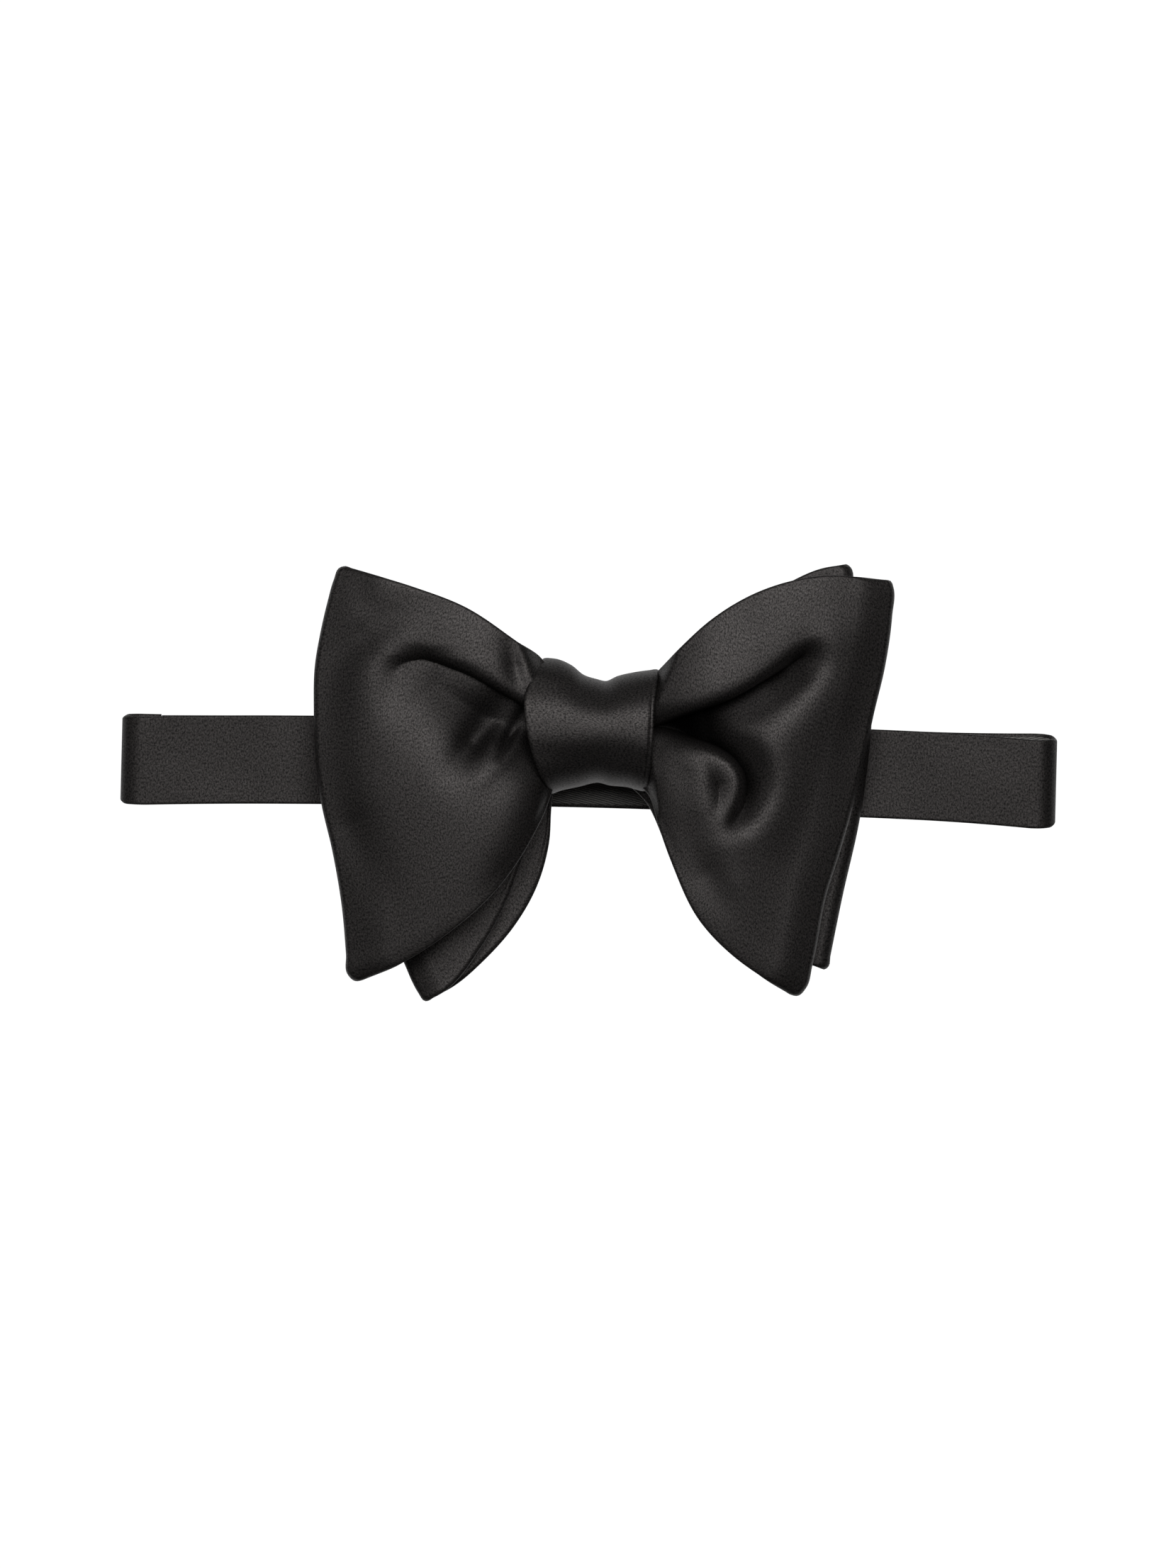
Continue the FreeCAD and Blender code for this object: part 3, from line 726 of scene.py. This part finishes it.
left_band = cloth("left_band_satin", band_grid(-1, SATIN_R, SEAM_X, HALF_H)[:, ::-1],
                  BAND_SATIN, half=0.54, rim=0.4)
left_lining = cloth("left_band_lining", band_grid(-1, LINING_R, SEAM_X, LINING_HALF_H)[:, ::-1],
                    TWILL, half=0.13, rim=0.3)
right_band = cloth("right_band_satin", band_grid(1, SATIN_R, STRAP_X, HALF_H),
                   BAND_SATIN, half=0.54, rim=0.4)
right_lining = cloth("right_band_lining", band_grid(1, LINING_R, STRAP_X, LINING_HALF_H),
                     TWILL, half=0.13, rim=0.3)

for ob, word, made in ((left_band, "left", "satin"), (left_lining, "left", "lining"),
                       (right_band, "right", "satin"), (right_lining, "right", "lining")):
    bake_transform(ob)
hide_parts("front_band_satin", "front_band_interlining", "left_turn_satin",
            "left_turn_interlining")
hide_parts("front_band_lining", "left_turn_lining")
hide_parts("right_turn_satin", "right_turn_interlining", "right_strap_satin",
            "right_strap_interlining")
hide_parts("right_turn_lining", "right_strap_lining")


def path_grid(pts, half_h):
    """A strap that follows x, y points at the band's height."""
    v = across(half_h)
    grid = np.zeros((len(pts), len(v), 3))
    for i, (x, y) in enumerate(pts):
        grid[i, :, 0] = x
        grid[i, :, 1] = y
        grid[i, :, 2] = BAND_Z + arch(x) + v * half_h
    return grid


def hook_path(r):
    """From the seam along the neck side, then round the hook's bar."""
    pts = [(x, HOOK_Y - r) for x in np.linspace(SEAM_X + 0.1, HOOK_X, 100)]
    for a in np.linspace(0, math.pi, 24)[1:]:
        pts.append((HOOK_X + r * math.sin(a), HOOK_Y - r * math.cos(a)))
    return pts


run_satin = cloth("running_strap_satin", path_grid(hook_path(1.66), HALF_H), BAND_SATIN, half=0.5, rim=0.6)
run_lining = cloth("running_strap_lining", path_grid(hook_path(2.22), LINING_HALF_H),
                   TWILL, half=0.10, rim=0.3)
for ob, slot in ((run_satin, "black_satin"), (run_lining, "twill_lining")):
    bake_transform(ob)
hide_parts("left_strap_satin", "left_strap_interlining", "strap_hook_turn")
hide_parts("left_strap_lining")


def return_path():
    """From the hook back to the slide's bar, round it, and the sewn tail."""
    strap_y, tail_y, reach, tail_x = 9.34, 7.20, 1.12, SLIDE_X + 8
    middle_y = (strap_y + tail_y) / 2
    pts = [(x, strap_y) for x in np.linspace(HOOK_X, SLIDE_X, 60)]
    for a in np.linspace(0, math.pi, 20)[1:-1]:
        pts.append((SLIDE_X - reach * math.sin(a), middle_y + (strap_y - middle_y) * math.cos(a)))
    return pts + [(x, tail_y) for x in np.linspace(SLIDE_X, tail_x, 10)]


def return_lining_path():
    return [(x, 9.88) for x in np.linspace(HOOK_X, SLIDE_X + 0.5, 56)]


back_satin = cloth("return_strap_satin", path_grid(return_path(), HALF_H), BAND_SATIN, half=0.46, rim=0.6)
back_lining = cloth("return_strap_lining", path_grid(return_lining_path(), LINING_HALF_H),
                    TWILL, half=0.10, rim=0.3)
for ob, slot in ((back_satin, "black_satin"), (back_lining, "twill_lining")):
    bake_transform(ob)
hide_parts("return_strap")


# ---- tape, tacks and hardware ------------------------------------------------

def tape_path():
    """Loop of tape round the eye's bar, with both ends laid on the strap."""
    eye_x, eye_y, end_x, r = 41.2, 6.0, 53, 0.93
    pts = [(x, eye_y + r) for x in np.linspace(end_x, eye_x, 14)]
    for a in np.linspace(0, math.pi, 18)[1:-1]:
        pts.append((eye_x - r * math.sin(a), eye_y + r * math.cos(a)))
    return pts + [(x, eye_y - r) for x in np.linspace(eye_x, end_x, 14)]


tape = cloth("eye_tape_loop", path_grid(tape_path(), 9.6), TAPE, half=0.20, rim=0.3)
finish_piece(tape, "right_strap", ["eye_tape"])


def tack_rows(name, xs, y, body, node_name):
    """Rows of small stitches, each a short curved bar that dips into the cloth."""
    pitch, length, slant = 1.55, 1.2, 0.25
    lines = []
    for x in xs:
        foot = BAND_Z + float(arch(x))
        for z in np.arange(-8.0, 8.0, pitch):
            lines.append([(x + slant * (t - 0.5), y + 0.20 * math.sin(math.pi * t) - 0.08,
                           foot + z + length * t) for t in np.linspace(0, 1, 7)])
    finish_piece(add_thread(name, lines, 0.17, 2), body, [node_name])


tack_rows("return_strap_stitches", (SLIDE_X + 3.0, SLIDE_X + 6.0), 9.95, "adjuster", "return_strap_tacks")
tack_rows("eye_tape_stitches", (45.0, 51.0), 7.12, "right_strap", "eye_tape_tacks")

for name in ("slide_frame", "slide_bar", "hook", "eye"):
    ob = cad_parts[name]
    ob.data.materials.clear()
    ob.data.materials.append(LACQUER)


# ---- floor, light and camera -------------------------------------------------

m, nodes, links, bsdf = material("pale_floor")
where = node(nodes, "ShaderNodeTexCoord")
mottle = node(nodes, "ShaderNodeTexNoise", Scale=9.0, Detail=2.0)
links.new(where.outputs["Object"], mottle.inputs["Vector"])
colour = ramp(nodes, (0.80, 0.80, 0.80), (0.86, 0.86, 0.86), 0.3, 0.7)
links.new(mottle.outputs["Fac"], colour.inputs[0])
links.new(colour.outputs[0], bsdf.inputs["Base Color"])
bsdf.inputs["Emission Color"].default_value = (1, 1, 1, 1)
bsdf.inputs["Emission Strength"].default_value = 0.55
bsdf.inputs["Roughness"].default_value = 0.7
bsdf.inputs["Specular IOR Level"].default_value = 0.1
me = bpy.data.meshes.new("floor")
me.from_pydata([(-1.6, -1.6, 0), (1.6, -1.6, 0), (1.6, 1.2, 0), (-1.6, 1.2, 0)], [], [(0, 1, 2, 3)])
me.materials.append(m)
floor = add_object("floor", me)
floor.location = (0, 0, -0.30)
floor.visible_glossy = False
floor.visible_diffuse = False

world = bpy.data.worlds.new("studio")
bpy.context.scene.world = world
world.use_nodes = True
nodes, links = world.node_tree.nodes, world.node_tree.links
nodes.clear()
out = nodes.new("ShaderNodeOutputWorld")
seen = node(nodes, "ShaderNodeBackground", Color=(1, 1, 1, 1), Strength=1.05)
lit = node(nodes, "ShaderNodeBackground", Color=(1, 1, 1, 1))
where = nodes.new("ShaderNodeTexCoord")
axes = nodes.new("ShaderNodeSeparateXYZ")
behind = map_range(nodes, (0.05, 0.7), (0.015, 0.85))
path = nodes.new("ShaderNodeLightPath")
mix = nodes.new("ShaderNodeMixShader")
links.new(where.outputs["Generated"], axes.inputs[0])
links.new(axes.outputs["Y"], behind.inputs["Value"])
links.new(behind.outputs[0], lit.inputs["Strength"])
links.new(path.outputs["Is Camera Ray"], mix.inputs[0])
links.new(lit.outputs[0], mix.inputs[1])
links.new(seen.outputs[0], mix.inputs[2])
links.new(mix.outputs[0], out.inputs[0])


def area_light(name, place, size, power):
    """Soft white light, aimed at the knot."""
    data = bpy.data.lights.new(name, "AREA")
    data.shape = "RECTANGLE"
    data.size, data.size_y = size
    data.energy = power
    ob = add_object(name, data)
    ob.location = place
    ob.rotation_euler = (-Vector(place)).to_track_quat("-Z", "Y").to_euler()


area_light("front_soft", (0.06, -1.35, 0.46), (1.1, 0.80), 13.0)
area_light("side_soft", (-1.30, -1.00, 0.20), (0.90, 0.90), 1.7)

cam = bpy.data.cameras.new("camera")
cam.lens = 305.2
cam.sensor_width = 36.0
camera = add_object("camera", cam)
place = Matrix.Translation((-0.0001, -3.003, -0.0123))
level = Matrix.Rotation(math.pi / 2, 4, "X")
roll = Matrix.Rotation(math.radians(1.4), 4, "Z")
camera.matrix_world = place @ level @ roll
bpy.context.scene.camera = camera
bpy.context.scene.view_settings.view_transform = "Standard"
